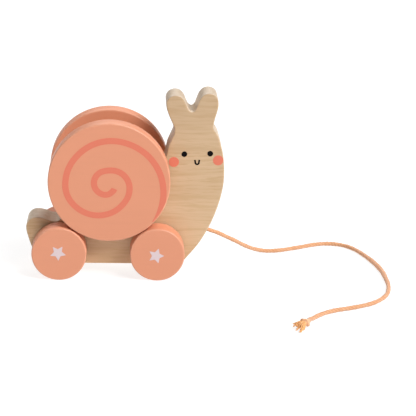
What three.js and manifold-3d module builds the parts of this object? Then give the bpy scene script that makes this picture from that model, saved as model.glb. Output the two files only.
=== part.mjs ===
// Pull along snail: a flat wooden snail on four wheels, with a disc on each side for its shell and a
// cord to pull it by. Millimetres, +X towards the head, +Z up, origin on the floor under the middle of
// the toy.
import * as THREE from 'three';
import { mergeVertices } from 'three/addons/utils/BufferGeometryUtils.js';
import Module from 'manifold-3d';

const wasm = await Module();
wasm.setup();

// Running clearance between pieces that touch or turn in each other.
const GAP = 0.3;

// How far a cutting tool runs past the face that it opens.
const PAST_FACE = 1;

// Board: one thick plank sawn to the snail's outline.
const BOARD_THICKNESS = 22;
const BOARD_EDGE = 0.8;
const OUTLINE_STEPS = 3;

// Wheels, glued to axles that turn in the board.
const WHEEL_RADIUS = 19;
const WHEEL_THICKNESS = 14.4;
const WHEEL_INNER_Y = 12.3;
const WHEEL_BORE_DEPTH = 10;
const REAR_AXLE_X = -45.5;
const FRONT_AXLE_X = 22.7;
const AXLE_RADIUS = 3;

// Shell: two discs glued to one axle, which turns in the board.
const SHELL_RADIUS = 42;
const SHELL_THICKNESS = 12.4;
const SHELL_INNER_Y = 13.2;
const SHELL_BORE_DEPTH = 8;
const SHELL_AXLE_X = -11.1;
const SHELL_AXLE_Z = 70.6;
const SHELL_AXLE_RADIUS = 4;
const SPACER_RADIUS = 9;

const DISC_EDGE = 0.9;
const DISC_SIDES = 64;
const WHEEL_SIDES = 44;
const ROD_SIDES = 24;

// Cord: it leaves a blind hole in the chest, drops to the floor and lies on it.
const CORD_RADIUS = 1.5;
const CORD_SIDES = 8;
const CORD_STEPS = 72;
const CORD_HOLE_RADIUS = 2;
const CORD_HOLE_DEPTH = 18;
const CORD_HOLE_ANGLE = THREE.MathUtils.degToRad(24);
const CORD_EXIT = new THREE.Vector3(56.5, 0, 30.4);
const CORD_LIE = 1.6;

const KNOT_CENTRE = new THREE.Vector3(118.8, -110.2, 3.2);
const KNOT_HALF_SIZE = new THREE.Vector3(3.9, 3.4, 2.9);
const KNOT_SIDES = 16;
const KNOT_RINGS = 10;
const FRAY_LENGTH = 8.2;
const FRAY_RADIUS = 4.8;
const FRAY_SHOULDER = 0.8;
const FRAY_FLATNESS = 0.55;
const END_ANGLE = THREE.MathUtils.degToRad(-130);

// The outline, as x and z from the shell's axle: the floor line of the base, then up the chest, round the
// head and its two feelers, down the back of the neck, over the hump that holds the shell's axle, and round
// the tail.
const BASE_FRONT = [49.2, -63.6];
const BASE_REAR = [-45, -63.6];
const CHEST = [
  [51.6, -62.4], [56.4, -56.8], [63.5, -47.7], [70.8, -34.3], [76, -20.5], [79, -7.7],
  [79.8, 3.5], [78.7, 16.5], [75.2, 29.4], [72, 34.6],
];
const FRONT_FEELER = [
  [71.6, 38.2], [72.5, 43], [74, 48.4], [74.5, 53], [73.6, 57.2], [71, 59.6],
  [67.4, 60.3], [63.9, 58.9], [61.6, 56], [60, 52], [58.7, 48.6],
];
const FEELER_NOTCH = [56.6, 47.1];
const REAR_FEELER = [
  [54.4, 48.3], [52.6, 51.6], [51.2, 54.8], [48.7, 57.6], [45, 58.6], [41.2, 57.4],
  [38.8, 54.2], [38.8, 50], [40.6, 44.4], [43.1, 38.8], [44.6, 34.8],
];
const NECK = [[44.1, 31], [42.4, 26.8], [40.3, 21.6], [39.2, 16.4], [37, 10.8]];
const HUMP = [
  [32.4, 7.8], [26, 9], [18, 14.2], [9, 18.6], [0, 20], [-10, 18], [-18.4, 11], [-23, 1],
  [-25.6, -12], [-29.4, -24.4], [-35, -31.8],
];
const TAIL = [
  [-40, -32.4], [-45.2, -30.6], [-50.2, -29.8], [-54.6, -31], [-57.3, -34.6], [-57.7, -38.8],
  [-56.2, -45], [-53.7, -52.4], [-50.6, -59.4],
];

// The cord's route from its exit, as x, y and the height of its middle.
const CORD_ROUTE = [
  [59.4, 0.2, 29.1], [65.4, 3, 26.2], [72.2, 8, 21.5], [79.2, 14, 16.4], [85.3, 20, 11.4],
  [91.5, 26, 6.8], [97.8, 31.5, 3.3], [104.6, 33.4, 1.8], [114.4, 35.5, CORD_LIE], [124.5, 40, CORD_LIE],
  [131, 43.2, CORD_LIE], [137.4, 46.8, CORD_LIE], [143.6, 49.6, CORD_LIE], [149.8, 51.1, CORD_LIE],
  [156, 50.8, CORD_LIE], [161.9, 48.5, CORD_LIE], [167.2, 44, CORD_LIE], [172, 36.2, CORD_LIE],
  [176.3, 25.2, CORD_LIE], [179.8, 14, CORD_LIE], [182.4, 2.6, CORD_LIE], [184, -9.4, CORD_LIE],
  [184.3, -21.8, CORD_LIE], [184.2, -33.2, CORD_LIE], [182.8, -44.2, CORD_LIE], [179.8, -54.9, CORD_LIE],
  [174.7, -63.6, CORD_LIE], [168, -70.9, CORD_LIE], [159.4, -76.4, CORD_LIE], [149.9, -80.9, CORD_LIE],
  [141.2, -84.4, CORD_LIE], [134, -88.8, CORD_LIE], [128.2, -94, CORD_LIE], [123.8, -99.9, 1.9],
  [121.4, -103.2, 2.5], [120.2, -106.3, 2.9],
];

const wood = { color: 0xd9b98c, roughness: 0.6, metalness: 0 };
const dowelWood = { color: 0xdfc49c, roughness: 0.7, metalness: 0 };
const coralPaint = { color: 0xe79b7d, roughness: 0.55, metalness: 0 };
const cotton = { color: 0xf2b385, roughness: 0.95, metalness: 0 };

const toy = new THREE.Group();

function addPiece(name, geometry, finish, parent = toy) {
  const mesh = new THREE.Mesh(geometry, new THREE.MeshStandardMaterial(finish));
  mesh.name = name;
  parent.add(mesh);
  return mesh;
}

function toSolid(geometry) {
  const bare = geometry.clone();
  bare.deleteAttribute('normal');
  bare.deleteAttribute('uv');
  const merged = mergeVertices(bare);
  return new wasm.Manifold(new wasm.Mesh({
    numProp: 3,
    vertProperties: new Float32Array(merged.attributes.position.array),
    triVerts: new Uint32Array(merged.index.array),
  }));
}

function toGeometry(solid) {
  const mesh = solid.getMesh();
  const geometry = new THREE.BufferGeometry();
  geometry.setAttribute('position', new THREE.BufferAttribute(mesh.vertProperties, 3));
  geometry.setIndex(new THREE.BufferAttribute(mesh.triVerts, 1));
  geometry.computeVertexNormals();
  return geometry;
}

// A rod along Y, centred on the XZ plane.
function rod(radius, length) {
  return new THREE.CylinderGeometry(radius, radius, length, ROD_SIDES);
}

// A round disc about Y with softened rims, its inner face at y = 0 and a blind bore in that face.
function boredDisc(radius, thickness, boreRadius, boreDepth, sides) {
  const soft = DISC_EDGE * (1 - Math.SQRT1_2);
  const profile = [
    [0, boreDepth], [boreRadius, boreDepth], [boreRadius, 0],
    [radius - DISC_EDGE, 0], [radius - soft, soft], [radius, DISC_EDGE],
    [radius, thickness - DISC_EDGE], [radius - soft, thickness - soft],
    [radius - DISC_EDGE, thickness], [0, thickness],
  ];
  return new THREE.LatheGeometry(profile.map(([r, y]) => new THREE.Vector2(r, y)), sides);
}

// A flat ring about Y, centred on the XZ plane.
function ring(outer, inner, thickness, sides) {
  const half = thickness / 2;
  const profile = [[inner, -half], [outer, -half], [outer, half], [inner, half], [inner, -half]];
  return new THREE.LatheGeometry(profile.map(([r, y]) => new THREE.Vector2(r, y)), sides);
}

function boardOutline() {
  const loop = [
    BASE_FRONT, ...CHEST, ...FRONT_FEELER, FEELER_NOTCH, ...REAR_FEELER, ...NECK, ...HUMP, ...TAIL,
    BASE_REAR,
  ].map(([x, z]) => new THREE.Vector2(x + SHELL_AXLE_X, z + SHELL_AXLE_Z));
  const curve = new THREE.SplineCurve(loop);
  const points = curve.getPoints((loop.length - 1) * OUTLINE_STEPS);
  return new THREE.Shape(points);
}

function boardGeometry() {
  const plank = new THREE.ExtrudeGeometry(boardOutline(), {
    depth: BOARD_THICKNESS - 2 * BOARD_EDGE,
    bevelEnabled: true,
    bevelThickness: BOARD_EDGE,
    bevelSize: BOARD_EDGE,
    bevelOffset: -BOARD_EDGE,
    bevelSegments: 1,
    steps: 1,
  });
  plank.translate(0, 0, BOARD_EDGE - BOARD_THICKNESS / 2);
  plank.rotateX(Math.PI / 2);

  const throughLength = BOARD_THICKNESS + 2 * PAST_FACE;
  const bores = [
    rod(AXLE_RADIUS + GAP, throughLength).translate(REAR_AXLE_X, 0, WHEEL_RADIUS),
    rod(AXLE_RADIUS + GAP, throughLength).translate(FRONT_AXLE_X, 0, WHEEL_RADIUS),
    rod(SHELL_AXLE_RADIUS + GAP, throughLength).translate(SHELL_AXLE_X, 0, SHELL_AXLE_Z),
    cordHole(),
  ];
  const solid = bores.reduce((left, bore) => left.subtract(toSolid(bore)), toSolid(plank));
  return toGeometry(solid);
}

// The direction in which the cord leaves the chest.
function cordDirection() {
  return new THREE.Vector3(Math.cos(CORD_HOLE_ANGLE), 0, -Math.sin(CORD_HOLE_ANGLE));
}

function cordHole() {
  // The chest slants across the hole, so the tool starts well clear of it.
  const beyond = 5 * PAST_FACE;
  const length = CORD_HOLE_DEPTH + beyond;
  const hole = new THREE.CylinderGeometry(CORD_HOLE_RADIUS, CORD_HOLE_RADIUS, length, ROD_SIDES);
  hole.translate(0, (beyond - CORD_HOLE_DEPTH) / 2, 0);
  const turn = new THREE.Quaternion().setFromUnitVectors(new THREE.Vector3(0, 1, 0), cordDirection());
  return hole.applyQuaternion(turn).translate(...CORD_EXIT);
}

function addWheelset(label, x) {
  const set = new THREE.Group();
  set.position.set(x, 0, WHEEL_RADIUS);
  toy.add(set);
  const half = WHEEL_INNER_Y + WHEEL_BORE_DEPTH - GAP;
  addPiece(`axle_${label}`, rod(AXLE_RADIUS, 2 * half), dowelWood, set);
  for (const [side, sign] of [['left', 1], ['right', -1]]) {
    const bore = AXLE_RADIUS + GAP;
    const geometry = boredDisc(WHEEL_RADIUS, WHEEL_THICKNESS, bore, WHEEL_BORE_DEPTH, WHEEL_SIDES);
    const wheel = addPiece(`wheel_${label}_${side}`, geometry, coralPaint, set);
    wheel.position.y = sign * WHEEL_INNER_Y;
    wheel.rotation.z = sign > 0 ? 0 : Math.PI;
  }
}

function addShell() {
  const shell = new THREE.Group();
  shell.position.set(SHELL_AXLE_X, 0, SHELL_AXLE_Z);
  toy.add(shell);
  const half = SHELL_INNER_Y + SHELL_BORE_DEPTH - GAP;
  addPiece('shell_axle', rod(SHELL_AXLE_RADIUS, 2 * half), dowelWood, shell);
  const room = SHELL_INNER_Y - BOARD_THICKNESS / 2;
  const bore = SHELL_AXLE_RADIUS + GAP;
  for (const [side, sign] of [['left', 1], ['right', -1]]) {
    const geometry = boredDisc(SHELL_RADIUS, SHELL_THICKNESS, bore, SHELL_BORE_DEPTH, DISC_SIDES);
    const disc = addPiece(`shell_disc_${side}`, geometry, coralPaint, shell);
    disc.position.y = sign * SHELL_INNER_Y;
    disc.rotation.z = sign > 0 ? 0 : Math.PI;
    const spacer = addPiece(
      `shell_spacer_${side}`, ring(SPACER_RADIUS, bore, room - 2 * GAP, ROD_SIDES), dowelWood, shell);
    spacer.position.y = sign * (BOARD_THICKNESS / 2 + room / 2);
  }
}

function cordCurve() {
  const inner = CORD_EXIT.clone().addScaledVector(cordDirection(), GAP - CORD_HOLE_DEPTH);
  const middle = CORD_EXIT.clone().addScaledVector(cordDirection(), -CORD_HOLE_DEPTH / 2);
  const points = CORD_ROUTE.map((point) => new THREE.Vector3(...point));
  return new THREE.CatmullRomCurve3([inner, middle, CORD_EXIT, ...points], false, 'centripetal');
}

function addCord() {
  const section = new THREE.Shape();
  section.absarc(0, 0, CORD_RADIUS, 0, 2 * Math.PI);
  // A full circle is cut into two sides for each curve segment.
  const tube = new THREE.ExtrudeGeometry(section, {
    extrudePath: cordCurve(),
    steps: CORD_STEPS,
    curveSegments: CORD_SIDES / 2,
    bevelEnabled: false,
  });
  addPiece('cord', tube, cotton);

  const end = new THREE.Group();
  end.position.copy(KNOT_CENTRE);
  end.rotation.z = END_ANGLE;
  toy.add(end);
  const knot = new THREE.SphereGeometry(1, KNOT_SIDES, KNOT_RINGS).scale(...KNOT_HALF_SIZE);
  addPiece('cord_end_knot', knot, cotton, end);

  const start = KNOT_HALF_SIZE.x + GAP;
  const profile = [
    [0, 0], [CORD_RADIUS, 0], [FRAY_RADIUS * FRAY_SHOULDER, FRAY_LENGTH / 2],
    [FRAY_RADIUS, FRAY_LENGTH], [0, FRAY_LENGTH],
  ].map(([r, y]) => new THREE.Vector2(r, y));
  const fray = new THREE.LatheGeometry(profile, ROD_SIDES);
  fray.rotateZ(-Math.PI / 2).scale(1, 1, FRAY_FLATNESS);
  addPiece('cord_frayed_end', fray, cotton, end).position.x = start;
}

addPiece('body_board', boardGeometry(), wood);
addShell();
addWheelset('rear', REAR_AXLE_X);
addWheelset('front', FRONT_AXLE_X);
addCord();

export default toy;
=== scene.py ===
"""Looks of the pull along snail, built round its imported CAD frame.

Lengths are in metres unless a name ends in _MM or its comment says millimetres.
"""
import math
import random

import bmesh
import bpy
from mathutils import Matrix, Vector


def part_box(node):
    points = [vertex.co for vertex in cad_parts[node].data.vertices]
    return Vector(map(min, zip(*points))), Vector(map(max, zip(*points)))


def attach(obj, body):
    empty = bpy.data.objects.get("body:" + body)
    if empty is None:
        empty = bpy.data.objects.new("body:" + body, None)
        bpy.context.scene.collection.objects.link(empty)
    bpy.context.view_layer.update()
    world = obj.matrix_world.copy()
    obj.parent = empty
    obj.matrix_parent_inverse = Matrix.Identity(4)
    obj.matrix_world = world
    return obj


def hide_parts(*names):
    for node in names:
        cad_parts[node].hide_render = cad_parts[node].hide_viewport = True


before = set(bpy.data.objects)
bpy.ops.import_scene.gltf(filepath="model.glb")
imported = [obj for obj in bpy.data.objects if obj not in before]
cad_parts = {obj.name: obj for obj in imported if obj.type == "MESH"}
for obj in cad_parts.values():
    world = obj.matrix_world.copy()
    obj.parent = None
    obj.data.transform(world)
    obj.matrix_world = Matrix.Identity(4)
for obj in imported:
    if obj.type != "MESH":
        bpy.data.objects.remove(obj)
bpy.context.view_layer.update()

MM = 0.001

# Camera: where the picture is taken from, and which way it looks.
CAMERA_PLACE = (-0.0008, -1.0351, 0.3769)
CAMERA_YAW, CAMERA_PITCH, CAMERA_ROLL = 0.0573, 0.3096, 0.027
CAMERA_LENS_MM = 133.2
CAMERA_SENSOR_MM = 36
CAMERA_NEAR, CAMERA_FAR = 0.05, 30

# Cord. The route is the CAD part's own, in metres.
CORD_DIAMETER = 0.003
CORD_EXIT = (0.0565, 0.0, 0.0304)
CORD_HOLE_ANGLE = math.radians(24)
CORD_HOLE_DEPTH = 0.018
CORD_END_GAP = 0.3 * MM
CORD_HOLE_ROOM = 0.45 * MM
CORD_HOLE_MOUTH = 0.7 * MM
CORD_LIE = 0.0016
FLOOR_GAP = 0.00004
CORD_STEPS, CORD_SPACING = 12, 0.55 * MM
CORD_SIDES = 36
# Twist: how far along the cord one ply goes once round it, how deep the grooves are as a share of the radius,
# and how sharp they are.
PLIES = 3
PLY_LAY = 7.8 * MM
PLY_GROOVE = 0.17
PLY_CREST = 0.75
# The cord's thickness wavers slowly and quickly: by what share, how fast in radians a metre, and from where.
SLOW_SWELL, SLOW_PACE, SLOW_START = 0.035, 410, 1.3
QUICK_SWELL, QUICK_PACE = 0.03, 1130
# Where the twist has slackened at the widest bend, as shares of the cord's length, and how much it swells.
SLACK_START, SLACK_END, SLACK_SWELL = 0.47, 0.72, 0.20
CORD_ROUTE = [
    (0.0594, 0.0002, 0.0291), (0.0654, 0.0030, 0.0262), (0.0722, 0.0080, 0.0215), (0.0792, 0.0140, 0.0164),
    (0.0853, 0.0200, 0.0114), (0.0915, 0.0260, 0.0068), (0.0978, 0.0315, 0.0033), (0.1046, 0.0334, 0.0018),
    (0.1144, 0.0355, CORD_LIE), (0.1245, 0.0400, CORD_LIE), (0.1310, 0.0432, CORD_LIE),
    (0.1374, 0.0468, CORD_LIE), (0.1436, 0.0496, CORD_LIE), (0.1498, 0.0511, CORD_LIE),
    (0.1560, 0.0508, CORD_LIE), (0.1619, 0.0485, CORD_LIE), (0.1672, 0.0440, CORD_LIE),
    (0.1720, 0.0362, CORD_LIE), (0.1763, 0.0252, CORD_LIE), (0.1798, 0.0140, CORD_LIE),
    (0.1824, 0.0026, CORD_LIE), (0.1840, -0.0094, CORD_LIE), (0.1843, -0.0218, CORD_LIE),
    (0.1842, -0.0332, CORD_LIE), (0.1828, -0.0442, CORD_LIE), (0.1798, -0.0549, CORD_LIE),
    (0.1747, -0.0636, CORD_LIE), (0.1680, -0.0709, CORD_LIE), (0.1594, -0.0764, CORD_LIE),
    (0.1499, -0.0809, CORD_LIE), (0.1412, -0.0844, CORD_LIE), (0.1340, -0.0888, CORD_LIE),
    (0.1282, -0.0940, CORD_LIE), (0.1238, -0.0999, 0.0019), (0.1214, -0.1032, 0.0025),
    (0.1202, -0.1063, 0.0029),
]

# Knot: its turns as (ahead, across, up) in millimetres from its middle.
KNOT_STRAND = 1.3 * MM
KNOT_GROOVE = 0.10
KNOT_STEPS, KNOT_SPACING = 8, 0.3 * MM
KNOT_OVERLAP = 0.6 * MM
KNOT_TURNS = [
    (-2.2, 0.2, 0.3), (-0.4, 1.0, 0.7), (1.2, 0.9, 1.4), (1.7, -0.8, 1.7), (1.4, -2.9, 1.5),
    (0.0, -3.3, 0.5), (-0.9, -1.6, -0.9), (0.4, 0.4, -1.3), (2.0, 1.1, -0.5), (2.2, 0.8, 1.0),
    (2.3, -0.5, 1.0), (2.9, -0.3, 0.1), (3.9, 0, 0),
]

# Frayed end: its root and the tips of its tufts, in millimetres from the knot's middle. A tip's height is
# from the floor.
FRAY_ROOT = (-1.9, -2.2, 0.2)
FRAY_TIPS = [
    (-9.0, -1.9, 3.0), (-9.2, -3.9, 2.0), (-7.4, -6.8, 1.0), (-6.6, -5.2, 0.9), (-5.9, -11.2, 0.8),
    (-5.2, -9.4, 0.8), (-2.8, -7.4, 0.8), (-3.8, -6.0, 0.9), (-6.8, -2.6, 3.4), (-5.0, -4.6, 2.6),
    (-7.7, -4.0, 1.8), (-7.0, -4.8, 2.4),
]
FRAY_SEED = 7
FRAY_YARNS = 5
FRAY_YARN = 0.5 * MM
# Each yarn bows up on its way to its tip, by this much at this share of the way, and strays at random.
FRAY_RISE = 1.2 * MM
FRAY_CROWN = 0.42
ROOT_STRAY_MM, CROWN_STRAY_MM, TIP_STRAY_MM = 0.9, 0.8, 0.7
YARN_STEPS, YARN_SPACING = 10, 0.4 * MM
YARN_PLIES, YARN_LAY, YARN_GROOVE, YARN_SIDES = 2, 3 * MM, 0.25, 10
YARN_TAPER = 0.4

# Board outline, as x and z in millimetres from the shell's axle.
BASE_FRONT = [(49.2, -63.6)]
CHEST = [
    (51.6, -62.4), (56.4, -56.8), (63.5, -47.7), (70.8, -34.3), (76, -20.5), (79, -7.7),
    (79.8, 3.5), (78.7, 16.5), (75.2, 29.4), (72, 34.6),
]
FRONT_FEELER = [
    (71.6, 38.2), (72.5, 43), (74, 48.4), (74.5, 53), (73.6, 57.2), (71, 59.6),
    (67.4, 60.3), (63.9, 58.9), (61.6, 56), (60, 52), (58.7, 48.6),
]
FEELER_NOTCH = [(56.6, 47.1)]
REAR_FEELER = [
    (54.4, 48.3), (52.6, 51.6), (51.2, 54.8), (48.7, 57.6), (45, 58.6), (41.2, 57.4),
    (38.8, 54.2), (38.8, 50), (40.6, 44.4), (43.1, 38.8), (44.6, 34.8),
]
NECK = [(44.1, 31), (42.4, 26.8), (40.3, 21.6), (39.2, 16.4), (37, 10.8)]
HUMP = [
    (32.4, 7.8), (26, 9), (18, 14.2), (9, 18.6), (0, 20), (-10, 18), (-18.4, 11), (-23, 1),
    (-25.6, -12), (-29.4, -24.4), (-35, -31.8),
]
TAIL = [
    (-40, -32.4), (-45.2, -30.6), (-50.2, -29.8), (-54.6, -31), (-57.3, -34.6), (-57.7, -38.8),
    (-56.2, -45), (-53.7, -52.4), (-50.6, -59.4),
]
BASE_REAR = [(-45, -63.6)]
OUTLINE = [*BASE_FRONT, *CHEST, *FRONT_FEELER, *FEELER_NOTCH, *REAR_FEELER, *NECK, *HUMP, *TAIL, *BASE_REAR]
OUTLINE_STEPS = 8
BOARD_EDGE = 0.8 * MM

# Prints, in millimetres from the middle of what they are on: the shell's axle, or a wheel's.
SPIRAL_WIDTH_MM = 4.3
# The spiral's middle line from its inner end, as the direction in degrees and the distance from the axle.
SPIRAL = [
    (313, 5.4), (300, 6.1), (285, 6.8), (265, 8.2), (235, 9.4), (200, 10.2), (170, 10.3), (140, 9.9),
    (95, 9.0), (60, 9.9), (30, 11.5), (0, 13.5), (-30, 15.7), (-60, 18.2), (-90, 22.0), (-115, 25.4),
    (-140, 28.2), (-163, 29.9), (-190, 29.6), (-225, 29.0), (-265, 29.7), (-300, 31.0), (-330, 33.5),
    (-350, 35.6), (-370, 37.9), (-385, 39.9), (-402, 42.6),
]
SPIRAL_STEPS, SPIRAL_SPACING = 10, 0.7 * MM
EYES = [(51.65, 17.1), (69.55, 17.7)]
EYE_RADIUS_MM = 2.0
CHEEKS = [(44.5, 11.4), (75.2, 12.9)]
CHEEK_RADIUS_MM = 3.6
SMILE_MIDDLE = (60.65, 11.15)
SMILE_RADIUS_MM = 1.25
SMILE_CORNER = (1.55, 1.95)
SMILE_STROKE_MM = 1.2
SMILE_STEPS = 14
FACE_TILT = math.radians(2)
STAR_RADIUS_MM = 5.7
STAR_WAIST = 0.50
STARS = {"rear": ((-0.6, 1.0), math.radians(-87.5)), "front": ((-0.85, -0.55), math.radians(0))}
STAR_BLUNT = 0.10
# A printed dot's film: the points in half of a row across it, and round its edge.
DOT_HALF_ROW, DOT_SIDES = 5, 40
INK_PROUD = 0.07 * MM
INK_SUNK = 0.05 * MM

DISC_EDGE = 0.9 * MM
BORE_LIP = 0.3 * MM
BORE_CLEARANCE = 0.3 * MM
ROD_CHAMFER = 0.4 * MM
CUTTER_CHAMFER = 0.01 * MM
CUTTER_BEYOND = 1 * MM
SPACER_EDGE = 0.35 * MM
# The strip beside a soft edge in which the shading settles to that of the flat face.
EDGE_HOLD = 0.5 * MM
# Paint wear: at the ends of a disc's soft edge, how broadly it spreads between them, and on a bore's lip.
WEAR_AT_ENDS, WEAR_SPREAD, WEAR_ON_LIP = 0.35, 0.6, 0.6
FILLET_STEPS = 6
RIM_SIDES = 144
ROD_SIDES = 48
# Edges sharper than these are shaded as edges: on hard pieces, and on the cord.
HARD_ANGLE = math.radians(40)
SOFT_ANGLE = math.radians(70)

# Stage: the floor's half width, its grey, and its glow, which keeps the shadows on it faint. Then the room's
# walls, as the direction each lies in and how bright it is, and the lamps, as name, place, width and watts.
FLOOR_REACH = 6.0
FLOOR_GREY = (0.28, 0.28, 0.28)
FLOOR_GLOW = 0.80
ROOM_WALLS = [((-1, 0, 0), 0.165), ((0, 1, 0), 0.075), ((0, -1, 0), 0.150)]
LAMPS = [
    ("key", (1.62, -1.26, 2.16), 1.6, 114.0),
    ("behind", (0.0, 1.1, 1.2), 1.0, 10.6),
    ("left_behind", (-0.9, 0.7, 0.8), 0.8, 5.5),
]
LAMP_AIM = (0, 0, 0.05)


# ---------------------------------------------------------------- camera

def add_camera():
    forward = Vector((
        math.sin(CAMERA_YAW) * math.cos(CAMERA_PITCH),
        math.cos(CAMERA_YAW) * math.cos(CAMERA_PITCH),
        -math.sin(CAMERA_PITCH),
    ))
    level_right = Vector((math.cos(CAMERA_YAW), -math.sin(CAMERA_YAW), 0))
    level_up = level_right.cross(forward)
    right = level_right * math.cos(CAMERA_ROLL) + level_up * math.sin(CAMERA_ROLL)
    up = level_up * math.cos(CAMERA_ROLL) - level_right * math.sin(CAMERA_ROLL)
    data = bpy.data.cameras.new("camera")
    data.sensor_width = CAMERA_SENSOR_MM
    data.lens = CAMERA_LENS_MM
    data.clip_start, data.clip_end = CAMERA_NEAR, CAMERA_FAR
    camera = bpy.data.objects.new("camera", data)
    turn = Matrix((right, up, -forward)).transposed().to_4x4()
    camera.matrix_world = Matrix.Translation(CAMERA_PLACE) @ turn
    bpy.context.scene.collection.objects.link(camera)
    bpy.context.scene.camera = camera


# ---------------------------------------------------------------- mesh helpers

def spline(points, steps, power):
    """Points on a Catmull-Rom curve through the given ones. Power 0.5 is centripetal, and 0 is uniform."""
    points = [Vector(p) for p in points]
    points = [2 * points[0] - points[1], *points, 2 * points[-1] - points[-2]]
    curve = []
    for before, start, end, after in zip(points, points[1:], points[2:], points[3:]):
        gaps = [(b - a).length ** power for a, b in ((before, start), (start, end), (end, after))]
        leave = ((start - before) / gaps[0] - (end - before) / (gaps[0] + gaps[1])
                 + (end - start) / gaps[1]) * gaps[1]
        arrive = ((end - start) / gaps[1] - (after - start) / (gaps[1] + gaps[2])
                  + (after - end) / gaps[2]) * gaps[1]
        for step in range(steps):
            t = step / steps
            curve.append(
                start * (2 * t**3 - 3 * t**2 + 1) + leave * (t**3 - 2 * t**2 + t)
                + end * (3 * t**2 - 2 * t**3) + arrive * (t**3 - t**2)
            )
    return [*curve, points[-2]]


def even(points, spacing):
    """The same line with its points an equal distance apart."""
    runs = [0.0]
    for a, b in zip(points, points[1:]):
        runs.append(runs[-1] + (b - a).length)
    count = max(2, round(runs[-1] / spacing))
    result, at = [], 0
    for i in range(count + 1):
        want = runs[-1] * i / count
        while at < len(points) - 2 and runs[at + 1] < want:
            at += 1
        share = (want - runs[at]) / max(1e-12, runs[at + 1] - runs[at])
        result.append(points[at].lerp(points[at + 1], min(1.0, share)))
    return result


def finish_mesh(name, bm, material, sharp=HARD_ANGLE):
    bmesh.ops.recalc_face_normals(bm, faces=bm.faces)
    mesh = bpy.data.meshes.new(name)
    bm.to_mesh(mesh)
    bm.free()
    mesh.shade_smooth()
    mesh.set_sharp_from_angle(angle=sharp)
    mesh.materials.append(material)
    piece = bpy.data.objects.new(name, mesh)
    bpy.context.scene.collection.objects.link(piece)
    return piece


def bridge(bm, first, second):
    """Quads between two closed rings of vertices."""
    count = len(first)
    return [
        bm.faces.new((first[i], first[(i + 1) % count], second[(i + 1) % count], second[i]))
        for i in range(count)
    ]


def turned(name, profile, centre, material, sides=RIM_SIDES):
    """A closed solid turned about a line along Y. The profile holds (radius, y, wear) and runs from axis to
    axis, or is a closed ring where it never meets the axis. Wear stays on the mesh for the paint to read."""
    bm = bmesh.new()
    wear = bm.verts.layers.float.new("wear")
    rings = []
    for radius, y, worn in profile:
        if radius < 1e-9:
            ring = [bm.verts.new(centre + Vector((0, y, 0)))]
        else:
            ring = [
                bm.verts.new(centre + Vector((radius * math.cos(turn), y, radius * math.sin(turn))))
                for turn in (2 * math.pi * i / sides for i in range(sides))
            ]
        for vert in ring:
            vert[wear] = worn
        rings.append(ring)
    if len(rings[0]) > 1:
        rings.append(rings[0])
    for first, second in zip(rings, rings[1:]):
        if len(first) == 1:
            for i in range(sides):
                bm.faces.new((first[0], second[i], second[(i + 1) % sides]))
        elif len(second) == 1:
            for i in range(sides):
                bm.faces.new((second[0], first[i], first[(i + 1) % sides]))
        else:
            bridge(bm, first, second)
    return finish_mesh(name, bm, material)


def fillet(radius, y, size, towards):
    """Profile points round an outer rim's edge, from the flat face to the rim. Towards is the y side of the
    rim."""
    points = []
    for i in range(FILLET_STEPS + 1):
        turn = math.pi / 2 * i / FILLET_STEPS
        points.append((radius - size * (1 - math.sin(turn)), y + towards * size * (1 - math.cos(turn)),
                       math.sin(2 * turn) ** WEAR_SPREAD if 0 < i < FILLET_STEPS else WEAR_AT_ENDS))
    return points


def disc_profile(radius, inner, outer, bore_radius, bore_depth):
    """A disc with soft rims, from its inner face, which has a blind bore, to its outer one."""
    out = 1 if outer > inner else -1
    floor = inner + out * bore_depth
    return [
        (0, floor, 0), (bore_radius - EDGE_HOLD, floor, 0), (bore_radius, floor, 0),
        (bore_radius, inner + out * BORE_LIP, 0),
        (bore_radius + BORE_LIP, inner, WEAR_ON_LIP), (bore_radius + BORE_LIP + EDGE_HOLD, inner, 0),
        (radius - DISC_EDGE - EDGE_HOLD, inner, 0),
        *fillet(radius, inner, DISC_EDGE, out),
        (radius, (inner + outer) / 2, 0),
        *reversed(fillet(radius, outer, DISC_EDGE, -out)),
        (radius - DISC_EDGE - EDGE_HOLD, outer, 0), (radius / 2, outer, 0), (0, outer, 0),
    ]


def rod_profile(radius, low, high, chamfer=ROD_CHAMFER):
    """A round rod from y = low to y = high, with its ends chamfered."""
    return [
        (0, low, 0), (radius - 2 * chamfer, low, 0), (radius - chamfer, low, 0), (radius, low + chamfer, 0),
        (radius, low + 2 * chamfer, 0), (radius, high - 2 * chamfer, 0), (radius, high - chamfer, 0),
        (radius - chamfer, high, 0), (radius - 2 * chamfer, high, 0), (0, high, 0),
    ]


# ---------------------------------------------------------------- materials

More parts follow.
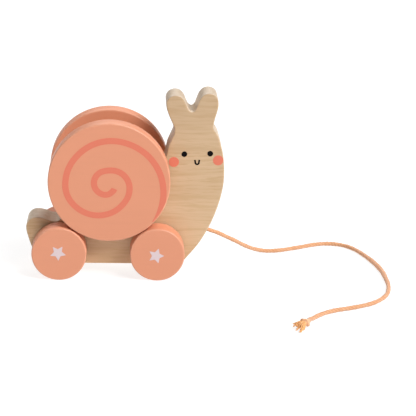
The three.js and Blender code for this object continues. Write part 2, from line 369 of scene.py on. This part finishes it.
class Nodes:
    """Short names for the shader nodes that the materials share."""

    def __init__(self, name):
        self.material = bpy.data.materials.new(name)
        self.material.use_nodes = True
        self.tree = self.material.node_tree
        self.shader = self.tree.nodes["Principled BSDF"]

    def node(self, kind, inputs=None, **settings):
        made = self.tree.nodes.new(kind)
        for key, value in settings.items():
            setattr(made, key, value)
        for key, value in (inputs or {}).items():
            if isinstance(value, bpy.types.NodeSocket):
                self.tree.links.new(value, made.inputs[key])
            else:
                made.inputs[key].default_value = value
        return made

    def place(self, scale=(1, 1, 1), shift=(0, 0, 0)):
        """Object coordinates in the row frame, scaled and then shifted."""
        coordinates = self.node("ShaderNodeTexCoord").outputs["Object"]
        inputs = {"Vector": coordinates, "Scale": scale, "Location": shift}
        return self.node("ShaderNodeMapping", inputs).outputs[0]

    def noise(self, vector, scale, detail, roughness):
        inputs = {"Vector": vector, "Scale": scale, "Detail": detail, "Roughness": roughness}
        return self.node("ShaderNodeTexNoise", inputs).outputs["Fac"]

    def math(self, operation, a, b=0.0, clamp=False):
        return self.node("ShaderNodeMath", {0: a, 1: b}, operation=operation, use_clamp=clamp).outputs[0]

    def mix(self, share, a, b, blend="MIX"):
        """A colour between a and b. Share is how much of b it takes."""
        made = self.node("ShaderNodeMix", data_type="RGBA", blend_type=blend)
        for socket, value in ((made.inputs[0], share), (made.inputs[6], a), (made.inputs[7], b)):
            if isinstance(value, bpy.types.NodeSocket):
                self.tree.links.new(value, socket)
            elif isinstance(value, tuple):
                socket.default_value = (*value, 1)
            else:
                socket.default_value = value
        return made.outputs[2]

    def span(self, value, low, high, to_low, to_high):
        """The value, stretched from low and high to to_low and to_high, and held at those past them."""
        return self.node("ShaderNodeMapRange", {
            "Value": value, "From Min": low, "From Max": high, "To Min": to_low, "To Max": to_high,
        }).outputs[0]

    def bump(self, height, strength, distance, under=None):
        inputs = {"Height": height, "Strength": strength, "Distance": distance}
        if under is not None:
            inputs["Normal"] = under
        return self.node("ShaderNodeBump", inputs).outputs[0]

    def out(self, colour, roughness, normal=None, **fixed):
        """The finished material. Fixed holds the shader's other inputs, with _ for the spaces in a name."""
        for key, value in (("Base Color", colour), ("Roughness", roughness), ("Normal", normal)):
            if isinstance(value, bpy.types.NodeSocket):
                self.tree.links.new(value, self.shader.inputs[key])
            elif value is not None:
                self.shader.inputs[key].default_value = (*value, 1) if isinstance(value, tuple) else value
        for key, value in fixed.items():
            self.shader.inputs[key.replace("_", " ")].default_value = value
        return self.material


def wood_material(name, light, dark, streak, painted_top_shade=(1, 1, 1), painted_foot_shade=(1, 1, 1), edge_tone_and_sheen=(1, 1, 1),
                  along="X"):
    """Pale softwood sawn along its grain: broken, slightly wavy growth lines, short dark streaks and fine
    fibres. Painted top shade darkens the plank towards its top: a painted shade, as the light falls brighter
    low down. Painted foot shade darkens and warms the strip along its foot: a painted shade under the shell
    and between the wheels. Edge tone and sheen makes its sanded edges paler: partly their own paler grain,
    partly a painted sheen of the light from above."""
    n = Nodes(name)

    def stretched(share, shift=(0, 0, 0)):
        return n.place((share, 1, 1) if along == "X" else (1, share, 1), shift)

    sway = n.noise(stretched(0.45, (2, 5, 1)), 20, 2.0, 0.5)
    bend = n.math("MULTIPLY", n.math("SUBTRACT", sway, 0.5), 0.009)
    lift = n.node("ShaderNodeCombineXYZ", {"X": bend if along == "Y" else 0.0, "Z": bend}).outputs[0]

    def wavy(share, shift=(0, 0, 0)):
        inputs = {0: stretched(share, shift), 1: lift}
        return n.node("ShaderNodeVectorMath", inputs, operation="ADD").outputs[0]

    lines = n.noise(wavy(0.06, (7, 3, 2)), 520, 3.0, 0.6)
    streaks = n.noise(wavy(0.11, (5, 2, 1)), 760, 2.0, 0.55)
    fibre = n.noise(wavy(0.04), 2200, 3.0, 0.65)
    bands = n.noise(wavy(0.10, (4, 9, 6)), 95, 3.0, 0.5)
    cloud = n.noise(stretched(0.5, (1, 7, 3)), 22, 3.0, 0.55)
    patch = n.span(n.noise(stretched(0.4, (3, 1, 2)), 45, 2.0, 0.5), 0.40, 0.62, 0.15, 1.0)
    colour = n.mix(n.span(bands, 0.42, 0.66, 0.0, 0.30), light, dark)
    colour = n.mix(n.span(cloud, 0.35, 0.7, 0.0, 0.6), colour, tuple(0.92 * c for c in light))
    colour = n.mix(n.span(lines, 0.46, 0.64, 0.0, 0.40), colour, streak)
    colour = n.mix(n.math("MULTIPLY", n.span(streaks, 0.55, 0.67, 0.0, 0.60), patch), colour, streak)
    colour = n.mix(n.span(fibre, 0.3, 0.7, 0.16, 0.0), colour, dark)
    height = n.node("ShaderNodeSeparateXYZ", {"Vector": n.place()}).outputs["Z"]
    # Painted shade: the plank darkens towards its top.
    colour = n.mix(n.span(height, 0.015, 0.13, 0.0, 1.0), colour, painted_top_shade, "MULTIPLY")
    # Painted shade along the foot, under the shell and between the wheels.
    colour = n.mix(n.span(height, 0.011, 0.022, 1.0, 0.0), colour, painted_foot_shade, "MULTIPLY")
    # Paler sanded edges: partly the grain's own tone, partly a painted sheen of the light from above.
    facing = n.node("ShaderNodeTexCoord").outputs["Normal"]
    across = n.math("ABSOLUTE", n.node("ShaderNodeSeparateXYZ", {"Vector": facing}).outputs["Y"])
    colour = n.mix(n.span(across, 0.55, 0.95, 1.0, 0.0), colour, edge_tone_and_sheen, "MULTIPLY")
    rough = n.span(bands, 0.3, 0.7, 0.46, 0.58)
    normal = n.bump(fibre, 0.16, 0.00012)
    normal = n.bump(lines, 0.08, 0.00010, normal)
    return n.out(colour, rough, normal, Specular_IOR_Level=0.5)


def paint_material(name, colour, thin, wood_side):
    """Satin paint on wood: the grain just shows through, and the film is thinner on worn edges."""
    n = Nodes(name)
    wear = n.node("ShaderNodeAttribute", attribute_name="wear").outputs["Fac"]
    grain = n.noise(n.place((0.10, 1, 1)), 260, 3.0, 0.6)
    patch = n.noise(n.place((1, 1, 1), (2, 4, 1)), 24, 3.0, 0.5)
    peel = n.noise(n.place(), 900, 2.0, 0.5)
    scuff = n.noise(n.place((1, 1, 1), (9, 1, 5)), 180, 4.0, 0.7)
    film = n.mix(n.span(patch, 0.3, 0.7, 0.0, 0.35), colour, tuple(0.94 * c for c in colour))
    film = n.mix(n.span(grain, 0.45, 0.75, 0.0, 0.22), film, tuple(0.90 * c for c in colour))
    film = n.mix(n.math("MULTIPLY", wear, n.span(scuff, 0.35, 0.65, 0.15, 0.6)), film, thin)
    chip = n.math("MULTIPLY", wear, n.span(scuff, 0.70, 0.76, 0.0, 0.55), clamp=True)
    film = n.mix(chip, film, wood_side)
    rough = n.span(patch, 0.3, 0.7, 0.40, 0.50)
    normal = n.bump(peel, 0.10, 0.00006)
    normal = n.bump(grain, 0.14, 0.00010, normal)
    return n.out(film, rough, normal, Specular_IOR_Level=0.5)


def ink_material(name, colour, faded, roughness, specular=0.4):
    """Screen printed ink: slightly uneven cover and a fine speckle."""
    n = Nodes(name)
    speckle = n.noise(n.place(), 2600, 2.0, 0.6)
    cover = n.noise(n.place((0.2, 1, 1)), 420, 3.0, 0.6)
    film = n.mix(n.span(speckle, 0.5, 0.75, 0.0, 0.45), colour, faded)
    film = n.mix(n.span(cover, 0.4, 0.75, 0.0, 0.25), film, faded)
    normal = n.bump(speckle, 0.12, 0.00004)
    rough = n.span(cover, 0.3, 0.7, roughness - 0.05, roughness + 0.06)
    return n.out(film, rough, normal, Specular_IOR_Level=specular)


def cotton_material(name, colour, deep, pale):
    """Soft dyed cotton: fine fibres along each ply, and a painted shade in the grooves between plies."""
    n = Nodes(name)
    groove_shade = n.node("ShaderNodeAttribute", attribute_name="groove_shade").outputs["Fac"]
    fuzz = n.noise(n.place(), 2400, 4.0, 0.7)
    tone = n.noise(n.place((1, 1, 1), (4, 2, 8)), 300, 3.0, 0.6)
    cotton_colour = n.mix(n.span(tone, 0.35, 0.65, 0.0, 1.0), colour, pale)
    cotton_colour = n.mix(n.span(fuzz, 0.4, 0.7, 0.0, 0.35), cotton_colour, deep)
    # Painted shade: darker in the grooves between plies.
    cotton_colour = n.mix(n.math("MULTIPLY", groove_shade, 0.65), cotton_colour, deep)
    normal = n.bump(fuzz, 0.5, 0.00018)
    return n.out(cotton_colour, 0.95, normal, Specular_IOR_Level=0.2, Sheen_Weight=0.35, Sheen_Roughness=0.5)


# Its top and foot shades are painted shade, and its edge tone is partly a painted sheen.
WOOD = wood_material(
    "natural_wood", light=(0.690, 0.482, 0.291), dark=(0.510, 0.323, 0.164), streak=(0.522, 0.326, 0.150),
    painted_top_shade=(0.81, 0.81, 0.81), painted_foot_shade=(0.96, 0.88, 0.82), edge_tone_and_sheen=(1.10, 1.28, 1.64),
)
DOWEL = wood_material(
    "dowel_wood", light=(0.62, 0.44, 0.27), dark=(0.45, 0.29, 0.15), streak=(0.50, 0.32, 0.17), along="Y",
)
PAINT = paint_material(
    "coral_paint", colour=(0.703, 0.281, 0.159), thin=(0.75, 0.38, 0.25), wood_side=(0.60, 0.41, 0.25),
)
CORAL_INK = ink_material(
    "coral_ink", colour=(0.70, 0.175, 0.105), faded=(0.69, 0.21, 0.125), roughness=0.5,
)
WHITE_INK = ink_material(
    "white_ink", colour=(0.68, 0.56, 0.58), faded=(0.66, 0.48, 0.47), roughness=0.55,
)
BLACK_INK = ink_material(
    "black_ink", colour=(0.004, 0.003, 0.0035), faded=(0.008, 0.006, 0.006), roughness=0.75, specular=0.08,
)
COTTON = cotton_material(
    "cotton_cord", colour=(0.69, 0.35, 0.185), deep=(0.52, 0.20, 0.075), pale=(0.74, 0.42, 0.245),
)
# The knot's cotton is the cord's, painted lighter: painted light against the knot's own heavy shade.
LIT_KNOT_COTTON = cotton_material(
    "knot_cotton", colour=(0.80, 0.46, 0.27), deep=(0.66, 0.31, 0.14), pale=(0.83, 0.51, 0.32),
)
LOOSE_COTTON = cotton_material(
    "loose_cotton", colour=(0.80, 0.40, 0.155), deep=(0.68, 0.26, 0.045), pale=(0.84, 0.51, 0.24),
)


# ---------------------------------------------------------------- cord

def steady_frames(path):
    """Two cross directions at each point of a path, with no needless turning between points."""
    last = len(path) - 1
    tangents = [(path[min(i + 1, last)] - path[max(i - 1, 0)]).normalized() for i in range(last + 1)]
    side = tangents[0].cross(Vector((0, 0, 1)))
    if side.length < 0.1:
        side = tangents[0].cross(Vector((1, 0, 0)))
    frames = []
    for tangent in tangents:
        side = (side - tangent * side.dot(tangent)).normalized()
        frames.append((side, tangent.cross(side)))
    return frames


def twisted_tube(name, path, radius, material, plies=PLIES, lay=PLY_LAY, depth=PLY_GROOVE, sides=CORD_SIDES,
                 taper=None, phase=0.0):
    """A soft cord of twisted plies as one closed tube. Taper gives the share of the radius along its length.
    Where the cord would sink into the floor, it flattens on it."""
    bm = bmesh.new()
    groove_shade = bm.verts.layers.float.new("groove_shade")
    rings, run = [], 0.0
    for i, (centre, (side, up)) in enumerate(zip(path, steady_frames(path))):
        if i:
            run += (centre - path[i - 1]).length
        share = taper(i / (len(path) - 1)) if taper else 1.0
        slow = SLOW_SWELL * math.sin(run * SLOW_PACE + SLOW_START)
        plump = 1 + slow + QUICK_SWELL * math.sin(run * QUICK_PACE)
        ring = []
        for k in range(sides):
            angle = 2 * math.pi * k / sides
            crest = abs(math.cos(plies / 2 * (angle - 2 * math.pi * run / lay + phase))) ** PLY_CREST
            reach = radius * share * plump * (1 - depth + depth * crest)
            place = centre + (side * math.cos(angle) + up * math.sin(angle)) * reach
            place.z = max(place.z, FLOOR_GAP)
            vert = bm.verts.new(place)
            # How far into a groove the point lies: the mask for the cotton's painted groove shade.
            vert[groove_shade] = 1 - crest
            ring.append(vert)
        rings.append(ring)
    for first, second in zip(rings, rings[1:]):
        bridge(bm, first, second)
    for ring, end in ((rings[0], path[0]), (rings[-1], path[-1])):
        tip = bm.verts.new(end)
        for k in range(sides):
            bm.faces.new((tip, ring[k], ring[(k + 1) % sides]))
    return finish_mesh(name, bm, material, SOFT_ANGLE)


def slack(share):
    """The cord's thickness at a share of its length, next to its usual one."""
    across = (share - SLACK_START) / (SLACK_END - SLACK_START)
    return 1 + SLACK_SWELL * math.sin(math.pi * across) ** 2 if 0 < across < 1 else 1.0


def add_cord():
    out = Vector((math.cos(CORD_HOLE_ANGLE), 0, -math.sin(CORD_HOLE_ANGLE)))
    exit_point = Vector(CORD_EXIT)
    inside = [exit_point - out * (CORD_HOLE_DEPTH - CORD_END_GAP), exit_point - out * (CORD_HOLE_DEPTH / 2)]
    path = even(spline([*inside, exit_point, *CORD_ROUTE], CORD_STEPS, 0.5), CORD_SPACING)
    cord = twisted_tube("pull_cord", path, CORD_DIAMETER / 2, COTTON, taper=slack)
    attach(cord, "chassis")
    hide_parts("cord")
    knot = add_knot(path[-1], (path[-1] - path[-8]).normalized())
    fray = add_fray()
    length = sum((b - a).length for a, b in zip(path, path[1:]))
    print(f"cord length {length:.4f} m")


def add_knot(start, heading):
    """An overhand knot, drawn tight: the cord turns twice round itself and leaves a small loop on its far
    side."""
    low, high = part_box("cord_end_knot")
    centre = (low + high) / 2
    ahead = Vector((heading.x, heading.y, 0)).normalized()
    side = Vector((-ahead.y, ahead.x, 0))
    loop = [
        centre + (ahead * along + side * across + Vector((0, 0, lift))) * MM
        for along, across, lift in KNOT_TURNS
    ]
    path = even(spline([start - ahead * KNOT_OVERLAP, *loop], KNOT_STEPS, 0.5), KNOT_SPACING)
    # The knot wears the cord's cotton painted lighter, a painted light.
    knot = twisted_tube("overhand_knot", path, KNOT_STRAND, LIT_KNOT_COTTON, depth=KNOT_GROOVE)
    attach(knot, "chassis")
    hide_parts("cord_end_knot")
    return knot


def add_fray():
    """The loose yarns past the knot. They part into tufts, which rise a little and fall to the floor."""
    low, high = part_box("cord_end_knot")
    middle = (low + high) / 2
    root = middle + Vector(FRAY_ROOT) * MM
    draw = random.Random(FRAY_SEED)

    def stray(most):
        return Vector([draw.uniform(-most, most) * MM for _ in range(3)])

    bm = bmesh.new()
    for across, towards, height in FRAY_TIPS:
        tip = Vector((middle.x + across * MM, middle.y + towards * MM, height * MM))
        for number in range(FRAY_YARNS):
            start = root + stray(ROOT_STRAY_MM)
            end = tip + stray(TIP_STRAY_MM)
            crown = start.lerp(end, FRAY_CROWN) + stray(CROWN_STRAY_MM) + Vector((0, 0, FRAY_RISE))
            points = [start, crown, end]
            for point in points:
                point.z = max(point.z, FRAY_YARN)
            path = even(spline(points, YARN_STEPS, 0.5), YARN_SPACING)
            yarn = twisted_tube(
                "yarn", path, FRAY_YARN, LOOSE_COTTON, plies=YARN_PLIES, lay=YARN_LAY, depth=YARN_GROOVE,
                sides=YARN_SIDES, taper=lambda s: 1.0 - YARN_TAPER * s * s, phase=number,
            )
            bm.from_mesh(yarn.data)
            bpy.data.objects.remove(yarn)
    fray = finish_mesh("frayed_yarns", bm, LOOSE_COTTON, SOFT_ANGLE)
    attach(fray, "chassis")
    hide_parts("cord_frayed_end")
    return fray


# ---------------------------------------------------------------- board

def shell_axle_middle():
    low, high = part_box("shell_axle")
    return (low + high) / 2


def board_loop():
    """The board's outline as (x, z) points in metres, running round its material on the left."""
    middle = shell_axle_middle()
    curve = spline([Vector(p) for p in OUTLINE], OUTLINE_STEPS, 0.0)
    return [Vector((middle.x + p.x * MM, middle.z + p.y * MM)) for p in curve]


def inward(loop):
    """Unit directions from each point of a loop into the material."""
    count = len(loop)
    result = []
    for i in range(count):
        along = (loop[(i + 1) % count] - loop[i - 1]).normalized()
        result.append(Vector((-along.y, along.x)))
    return result


def add_board():
    low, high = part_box("body_board")
    loop = board_loop()
    into = inward(loop)
    rows = [(BOARD_EDGE + EDGE_HOLD, 0.0)]
    rows += [
        (BOARD_EDGE * (1 - math.sin(turn)), BOARD_EDGE * (1 - math.cos(turn)))
        for turn in (math.pi / 2 * i / FILLET_STEPS for i in range(FILLET_STEPS + 1))
    ]
    bm = bmesh.new()
    rings = []
    for face, inwards in ((low.y, 1), (high.y, -1)):
        made = [
            [
                bm.verts.new((p.x + d.x * inset, face + inwards * depth, p.y + d.y * inset))
                for p, d in zip(loop, into)
            ]
            for inset, depth in rows
        ]
        rings += made if inwards > 0 else reversed(made)
    for first, second in zip(rings, rings[1:]):
        bridge(bm, first, second)
    bm.faces.new(rings[0])
    bm.faces.new(reversed(rings[-1]))
    board = finish_mesh("snail_board", bm, WOOD)
    for cutter in board_cutters(low, high):
        cut(board, cutter)
    board.data.set_sharp_from_angle(angle=HARD_ANGLE)
    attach(board, "chassis")
    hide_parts("body_board")


def board_cutters(low, high):
    """Solids for the three axle holes and the cord's hole."""
    cutters = []
    for axle in ("axle_rear", "axle_front", "shell_axle"):
        axle_low, axle_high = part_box(axle)
        radius = (axle_high.x - axle_low.x) / 2 + BORE_CLEARANCE
        profile = rod_profile(radius, low.y - CUTTER_BEYOND, high.y + CUTTER_BEYOND, CUTTER_CHAMFER)
        cutters.append(turned("cutter", profile, (axle_low + axle_high) / 2, WOOD, ROD_SIDES))
    mouth = CORD_HOLE_MOUTH
    radius = CORD_DIAMETER / 2 + CORD_HOLE_ROOM
    profile = [(0, -CORD_HOLE_DEPTH, 0), (radius, -CORD_HOLE_DEPTH, 0), (radius, -mouth, 0),
               (radius + mouth, mouth, 0), (radius + 4 * mouth, 4 * mouth, 0), (0, 4 * mouth, 0)]
    hole = turned("cutter", profile, Vector((0, 0, 0)), WOOD, ROD_SIDES)
    out = Vector((math.cos(CORD_HOLE_ANGLE), 0, -math.sin(CORD_HOLE_ANGLE)))
    turn = Vector((0, 1, 0)).rotation_difference(out).to_matrix().to_4x4()
    hole.data.transform(Matrix.Translation(CORD_EXIT) @ turn)
    return [*cutters, hole]


def cut(piece, cutter):
    """Subtracts the cutter from the piece's own mesh, and removes the cutter."""
    modifier = piece.modifiers.new("cut", "BOOLEAN")
    modifier.operation = "DIFFERENCE"
    modifier.solver = "EXACT"
    modifier.object = cutter
    bpy.context.view_layer.update()
    graph = bpy.context.evaluated_depsgraph_get()
    mesh = bpy.data.meshes.new_from_object(piece.evaluated_get(graph))
    piece.modifiers.clear()
    piece.data = mesh
    bpy.data.objects.remove(cutter)


# ---------------------------------------------------------------- turned wooden pieces

def add_turned_pieces():
    for node, body, bore in (
        ("shell_disc_left", "shell", "shell_axle"),
        ("shell_disc_right", "shell", "shell_axle"),
        ("wheel_rear_left", "rear_wheelset", "axle_rear"),
        ("wheel_rear_right", "rear_wheelset", "axle_rear"),
        ("wheel_front_left", "front_wheelset", "axle_front"),
        ("wheel_front_right", "front_wheelset", "axle_front"),
    ):
        low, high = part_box(node)
        rod_low, rod_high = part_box(bore)
        centre = Vector(((low.x + high.x) / 2, 0, (low.z + high.z) / 2))
        inner, outer = (low.y, high.y) if low.y > 0 else (high.y, low.y)
        bore_radius = (rod_high.x - rod_low.x) / 2 + BORE_CLEARANCE
        depth = rod_high.y - abs(inner) + BORE_CLEARANCE
        profile = disc_profile((high.x - low.x) / 2, inner, outer, bore_radius, depth)
        keep(turned("painted_" + node, profile, centre, PAINT), body, node)
    for node, body in (
        ("shell_axle", "shell"), ("axle_rear", "rear_wheelset"), ("axle_front", "front_wheelset"),
    ):
        low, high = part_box(node)
        centre = (low + high) / 2
        profile = rod_profile((high.x - low.x) / 2, low.y - centre.y, high.y - centre.y)
        keep(turned("dowel_" + node, profile, centre, DOWEL, ROD_SIDES), body, node)
    for node in ("shell_spacer_left", "shell_spacer_right"):
        low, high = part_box(node)
        rod_low, rod_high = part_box("shell_axle")
        inner = (rod_high.x - rod_low.x) / 2 + BORE_CLEARANCE
        keep(spacer(node, low, high, inner), "shell", node)


def spacer(node, low, high, inner):
    centre = (low + high) / 2
    outer = (high.x - low.x) / 2
    half = (high.y - low.y) / 2
    soft = SPACER_EDGE
    profile = [
        (inner + soft, -half, 0), (outer - soft, -half, 0), (outer, soft - half, 0),
        (outer, half - soft, 0), (outer - soft, half, 0), (inner + soft, half, 0),
        (inner, half - soft, 0), (inner, soft - half, 0),
    ]
    return turned("ring_" + node, profile, centre, DOWEL, ROD_SIDES)


def keep(piece, body, node):
    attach(piece, body)
    if node:
        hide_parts(node)


# ---------------------------------------------------------------- prints

def edge_drop(point, loop):
    """How far the board's softened edge lies below its face at a point."""
    nearest = min((point - p).length for p in loop)
    short = BOARD_EDGE - nearest
    return 0.0 if short <= 0 else BOARD_EDGE - math.sqrt(max(0.0, BOARD_EDGE**2 - short**2))


def ink(name, strips, face, side, body, material, loop=None):
    """A thin film of ink. Strips are lists of rows of (x, z) points, each row bridged to the next."""
    bm = bmesh.new()
    for rows in strips:
        top, under = [], []
        for row in rows:
            heights = [face - side * (edge_drop(p, loop) if loop else 0.0) for p in row]
            top.append([bm.verts.new((p.x, y + side * INK_PROUD, p.y)) for p, y in zip(row, heights)])
            under.append([bm.verts.new((p.x, y - side * INK_SUNK, p.y)) for p, y in zip(row, heights)])
        for layer in (top, under):
            for first, second in zip(layer, layer[1:]):
                for i in range(len(first) - 1):
                    bm.faces.new((first[i], first[i + 1], second[i + 1], second[i]))
        bridge(bm, rim(top), rim(under))
    bmesh.ops.remove_doubles(bm, verts=bm.verts, dist=1e-7)
    keep(finish_mesh(name, bm, material), body, None)


def rim(rows):
    """The outer vertices of a patch of rows, in order."""
    between = rows[1:-1]
    ends, starts = [row[-1] for row in between], [row[0] for row in reversed(between)]
    return [*rows[0], *ends, *reversed(rows[-1]), *starts]


def ribbon(line, width):
    """Rows across a line, with a constant width."""
    rows = []
    for i, point in enumerate(line):
        along = (line[min(i + 1, len(line) - 1)] - line[max(i - 1, 0)]).normalized()
        side = Vector((-along.y, along.x)) * width / 2
        rows.append([point - side, point - side * 0.5, point, point + side * 0.5, point + side])
    return rows


def dot(centre, radius):
    """A filled circle as one patch of rows, from side to side."""
    rows = []
    for i in range(1, DOT_SIDES // 2):
        angle = math.pi * i / (DOT_SIDES // 2)
        x = -radius * math.cos(angle)
        half = radius * math.sin(angle)
        across = [half * (k / DOT_HALF_ROW - 1) for k in range(2 * DOT_HALF_ROW + 1)]
        rows.append([centre + Vector((x, y)) for y in across])
    return rows


def add_face(side):
    low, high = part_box("body_board")
    face = high.y if side > 0 else low.y
    label = "left" if side > 0 else "right"
    middle = shell_axle_middle()
    loop = board_loop()

    def at(point):
        return Vector((middle.x + point[0] * MM, middle.z + point[1] * MM))

    for number, eye in enumerate(EYES):
        film = dot(at(eye), EYE_RADIUS_MM * MM)
        ink(f"eye_{label}_{number}", [film], face, side, "chassis", BLACK_INK)
    for number, cheek in enumerate(CHEEKS):
        film = dot(at(cheek), CHEEK_RADIUS_MM * MM)
        ink(f"cheek_{label}_{number}", [film], face, side, "chassis", CORAL_INK, loop)
    corner_x, corner_z = SMILE_CORNER
    line = [Vector((-corner_x, corner_z))]
    line += [
        Vector((-math.cos(turn), -math.sin(turn))) * SMILE_RADIUS_MM
        for turn in (math.pi * i / SMILE_STEPS for i in range(SMILE_STEPS + 1))
    ]
    line.append(Vector((corner_x, corner_z)))
    tilt = Matrix.Rotation(FACE_TILT, 2)
    line = [at(Vector(SMILE_MIDDLE) + tilt @ p) for p in line]
    film = ribbon(line, SMILE_STROKE_MM * MM)
    ink(f"smile_{label}", [film], face, side, "chassis", BLACK_INK)


def add_spiral(side):
    label = "left" if side > 0 else "right"
    low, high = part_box(f"shell_disc_{label}")
    face = high.y if side > 0 else low.y
    middle = shell_axle_middle()
    centre = Vector((middle.x, middle.z))
    limit = (high.x - low.x) / 2 - DISC_EDGE
    turns = spline([Vector(p) for p in SPIRAL], SPIRAL_STEPS, 0.5)
    line = [Vector((math.cos(math.radians(p.x)), math.sin(math.radians(p.x)))) * p.y * MM for p in turns]
    line = even(line, SPIRAL_SPACING)
    rows = []
    for row in ribbon(line, SPIRAL_WIDTH_MM * MM):
        if row[-1].length > limit and row[0].length > limit:
            break
        rows.append([centre + (p if p.length <= limit else p.normalized() * limit) for p in row])
    ink(f"spiral_{label}", [rows], face, side, "shell", CORAL_INK)


def add_star(place, side):
    label = "left" if side > 0 else "right"
    low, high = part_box(f"wheel_{place}_{label}")
    face = high.y if side > 0 else low.y
    (right, up), aim = STARS[place]
    centre = Vector(((low.x + high.x) / 2 + right * MM, (low.z + high.z) / 2 + up * MM))
    star_ink(f"star_{place}_{label}", centre, aim, face, side, f"{place}_wheelset")


def star_ink(name, centre, aim, face, side, body):
    """A five-pointed star with blunt tips, as one thin closed film."""
    outline = []
    waist = STAR_WAIST * STAR_RADIUS_MM * MM
    reach = STAR_RADIUS_MM * MM
    for i in range(5):
        tip_aim = aim + 2 * math.pi * i / 5
        before, tip, after = (
            Vector((math.cos(a), math.sin(a))) * r
            for a, r in ((tip_aim - math.pi / 5, waist), (tip_aim, reach), (tip_aim + math.pi / 5, waist))
        )
        outline += [
            before, tip.lerp(before, STAR_BLUNT), tip * (1 - STAR_BLUNT / 4), tip.lerp(after, STAR_BLUNT),
        ]
    bm = bmesh.new()
    layers = []
    for depth in (INK_PROUD, -INK_SUNK):
        hub = bm.verts.new((centre.x, face + side * depth, centre.y))
        ring = [bm.verts.new((centre.x + p.x, face + side * depth, centre.y + p.y)) for p in outline]
        for i in range(len(ring)):
            bm.faces.new((hub, ring[i], ring[(i + 1) % len(ring)]))
        layers.append(ring)
    bridge(bm, *layers)
    keep(finish_mesh(name, bm, WHITE_INK), body, None)


# ---------------------------------------------------------------- stage

def add_room_light(*walls):
    """A world of soft white walls, each given as the direction it lies in and its brightness there."""
    world = bpy.data.worlds.new("white_room")
    world.use_nodes = True
    nodes, links = world.node_tree.nodes, world.node_tree.links
    background = nodes["Background"]
    background.inputs["Color"].default_value = (1, 1, 1, 1)
    looking = nodes.new("ShaderNodeTexCoord").outputs["Generated"]
    total = 0.0
    for direction, brightness in walls:
        facing = nodes.new("ShaderNodeVectorMath")
        facing.operation = "DOT_PRODUCT"
        links.new(looking, facing.inputs[0])
        facing.inputs[1].default_value = direction
        value = facing.outputs["Value"]
        for operation, other in (
            ("MAXIMUM", 0.0), ("POWER", 2.0), ("MULTIPLY", brightness), ("ADD", total),
        ):
            step = nodes.new("ShaderNodeMath")
            step.operation = operation
            links.new(value, step.inputs[0])
            if isinstance(other, float):
                step.inputs[1].default_value = other
            else:
                links.new(other, step.inputs[1])
            value = step.outputs[0]
        total = value
    links.new(total, background.inputs["Strength"])
    bpy.context.scene.world = world


def add_stage():
    """A wide pale floor, a white surround and soft lights."""
    bm = bmesh.new()
    reach = FLOOR_REACH
    corners = [(-reach, -reach), (reach, -reach), (reach, reach), (-reach, reach)]
    bm.faces.new([bm.verts.new((x, y, 0)) for x, y in corners])
    pale = Nodes("pale_floor").out(FLOOR_GREY, 0.9, Specular_IOR_Level=0.1, Emission_Color=(1, 1, 1, 1),
                                   Emission_Strength=FLOOR_GLOW)
    floor = finish_mesh("floor", bm, pale)

    add_room_light(*ROOM_WALLS)
    for name, place, size, power in LAMPS:
        data = bpy.data.lights.new(name, "AREA")
        data.size = size
        data.energy = power
        lamp = bpy.data.objects.new(name, data)
        lamp.location = place
        lamp.visible_camera = False
        lamp.rotation_mode = "QUATERNION"
        lamp.rotation_quaternion = (Vector(LAMP_AIM) - Vector(place)).to_track_quat("-Z", "Y")
        bpy.context.scene.collection.objects.link(lamp)
    bpy.context.scene.view_settings.view_transform = "Standard"


add_camera()
add_cord()
add_board()
add_turned_pieces()
for face_side in (-1, 1):
    add_face(face_side)
    add_spiral(face_side)
    add_star("rear", face_side)
    add_star("front", face_side)
add_stage()
